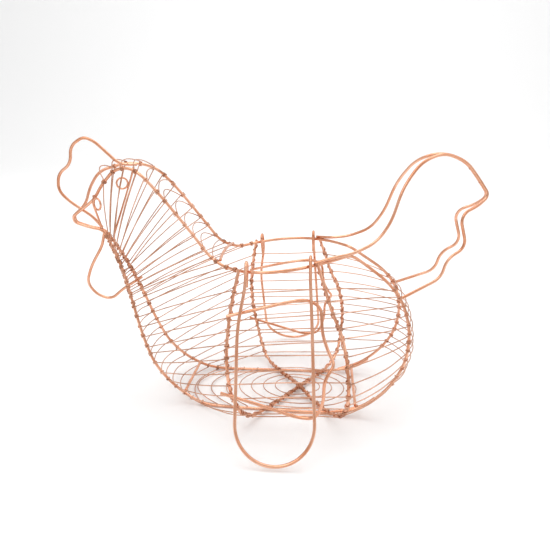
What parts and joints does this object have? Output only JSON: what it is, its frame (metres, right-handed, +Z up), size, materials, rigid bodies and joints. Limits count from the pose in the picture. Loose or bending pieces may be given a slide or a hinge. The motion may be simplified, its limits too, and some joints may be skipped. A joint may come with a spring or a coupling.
{
  "type": "wire produce basket",
  "caption": "Hen-shaped woven wire basket for eggs or produce, open on top behind the neck, with wire bail handles that hang at the sides and swing up over the mouth.",
  "frame": {"origin": "on the table, within about 2 mm along X of the middle of the overall box", "axes": "+X from beak to tail, -Y the left side, +Z up"},
  "size_m": [0.4012, 0.2548, 0.2553],
  "materials": {
    "frame_wire": "bright copper colour",
    "woven_wire": "copper colour, duller than the frame"
  },
  "bodies": {
    "basket": {"breast_weave": "woven_wire", "comb": "frame_wire", "first_rib": "frame_wire", "floor_weave": "woven_wire", "front_base_bar": "frame_wire", "left_eye": "frame_wire", "left_front_weave": "woven_wire", "left_middle_weave": "woven_wire", "left_neck_weave": "woven_wire", "left_rear_weave": "woven_wire", "left_side_frame": "frame_wire", "left_tail": "frame_wire", "left_wing": "frame_wire", "mouth_front_bar": "frame_wire", "neck_back_loops": "woven_wire", "rear_base_bar": "frame_wire", "rear_weave": "woven_wire", "right_eye": "frame_wire", "right_front_weave": "woven_wire", "right_middle_weave": "woven_wire", "right_neck_weave": "woven_wire", "right_rear_weave": "woven_wire", "right_side_frame": "frame_wire", "right_tail": "frame_wire", "right_wing": "frame_wire", "second_rib": "frame_wire", "wattle": "frame_wire"},
    "left_bail": {"left_handle": "frame_wire"},
    "right_bail": {"right_handle": "frame_wire"}
  },
  "joints": [
    {"name": "left_bail_hinge", "type": "hinge", "parent": "basket", "child": "left_bail", "pos_m": [0.0435, -0.0527, 0.1503], "axis": [-0.9927, -0.0765, -0.0929], "range_deg": [0, 170]},
    {"name": "right_bail_hinge", "type": "hinge", "parent": "basket", "child": "right_bail", "pos_m": [-0.011, 0.0569, 0.1452], "axis": [0.9927, -0.0765, 0.0929], "range_deg": [0, 170]}
  ]
}
